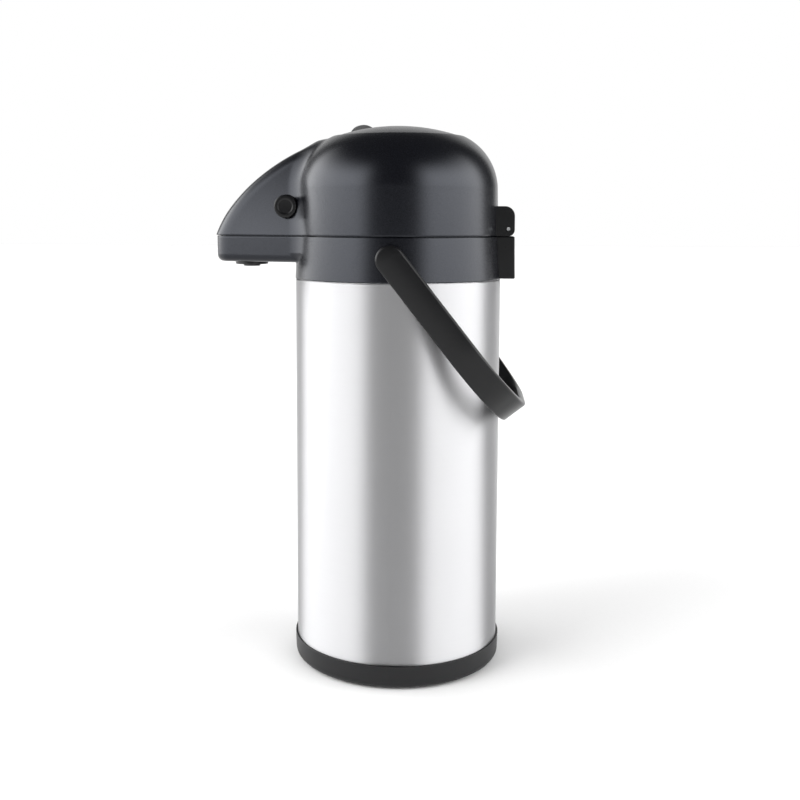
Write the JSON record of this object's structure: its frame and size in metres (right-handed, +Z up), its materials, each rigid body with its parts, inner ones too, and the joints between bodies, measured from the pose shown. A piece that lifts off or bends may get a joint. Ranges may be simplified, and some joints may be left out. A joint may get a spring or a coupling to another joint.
{
  "type": "thermal coffee airpot",
  "caption": "Tall steel vacuum flask with a push-button pump lid, beak spout, side release knobs and a swinging bail handle; dispenses hot drinks.",
  "frame": {"origin": "centre of the foot ring's underside, on the flask's axis", "axes": "+Z up along the flask's axis, the spout points to -Y, the lid's hinge is at +Y, the handle's pivots lie along X"},
  "size_m": [0.166, 0.2298, 0.3981],
  "materials": {
    "shell_steel": "horizontally brushed stainless steel",
    "flask_steel": "plain drawn stainless steel",
    "fastener_steel": "plain stainless steel",
    "spring_steel": "drawn spring wire",
    "lid_plastic": "charcoal black, fine spark texture",
    "trim_plastic": "smooth black, semi-gloss",
    "base_plastic": "black satin",
    "inner_plastic": "natural polypropylene, off-white",
    "silicone": "translucent grey silicone",
    "foot_rubber": "black non-slip rubber",
    "bellows_rubber": "grey flexible polyethylene bellows"
  },
  "bodies": {
    "flask": {"base_ring": "base_plastic", "foot_ring": "foot_rubber", "base_screws": "fastener_steel", "base_nuts": "fastener_steel", "outer_shell": "shell_steel", "shell_cap": "flask_steel", "inner_liner": "flask_steel", "getter_cup": "flask_steel", "collar": "lid_plastic", "pivot_bushes": "trim_plastic", "neck_nut": "inner_plastic", "hinge_pin": "fastener_steel", "neck_gasket": "silicone", "stopper": "inner_plastic", "pickup_tube": "inner_plastic", "siphon_head": "inner_plastic", "discharge_pipe": "inner_plastic", "outlet_nozzle": "trim_plastic", "nozzle_ring": "trim_plastic"},
    "lid": {"lid_shell": "lid_plastic", "lid_plate": "base_plastic", "lid_screws": "fastener_steel", "air_seal": "silicone", "bellows": "bellows_rubber", "bellows_clamp": "inner_plastic", "return_spring": "spring_steel", "intake_valve": "silicone", "release_spring": "spring_steel"},
    "button": {"push_button": "lid_plastic", "pump_plate": "inner_plastic"},
    "lock": {"lock_ring": "trim_plastic", "lock_tab": "trim_plastic"},
    "right_release": {"release_knob_right": "trim_plastic", "latch_hook_right": "trim_plastic"},
    "left_release": {"release_knob_left": "trim_plastic", "latch_hook_left": "trim_plastic"},
    "bail": {"handle": "trim_plastic"}
  },
  "joints": [
    {"name": "lid_hinge", "type": "hinge", "parent": "flask", "child": "lid", "pos_m": [0, 0.08, 0.3195], "axis": [-1, 0, 0], "range_deg": [0, 95]},
    {"name": "handle_swing", "type": "hinge", "parent": "flask", "child": "bail", "pos_m": [0, 0, 0.2992], "axis": [1, 0, 0], "range_deg": [0, 215]},
    {"name": "button_press", "type": "slide", "parent": "lid", "child": "button", "axis": [0, 0, -1], "range_m": [0, 0.028], "stiffness_N_per_m": 600, "springref_m": -0.01, "deforming": ["bellows", "return_spring"]},
    {"name": "lock_turn", "type": "hinge", "parent": "lid", "child": "lock", "pos_m": [0, 0, 0.372], "axis": [0, 0, -1], "range_deg": [0, 25]},
    {"name": "right_release_press", "type": "slide", "parent": "lid", "child": "right_release", "axis": [-1, 0, 0], "range_m": [0, 0.003], "stiffness_N_per_m": 500, "springref_m": -0.004},
    {"name": "left_release_press", "type": "slide", "parent": "lid", "child": "left_release", "axis": [1, 0, 0], "range_m": [0, 0.003], "stiffness_N_per_m": 500, "springref_m": -0.004}
  ]
}
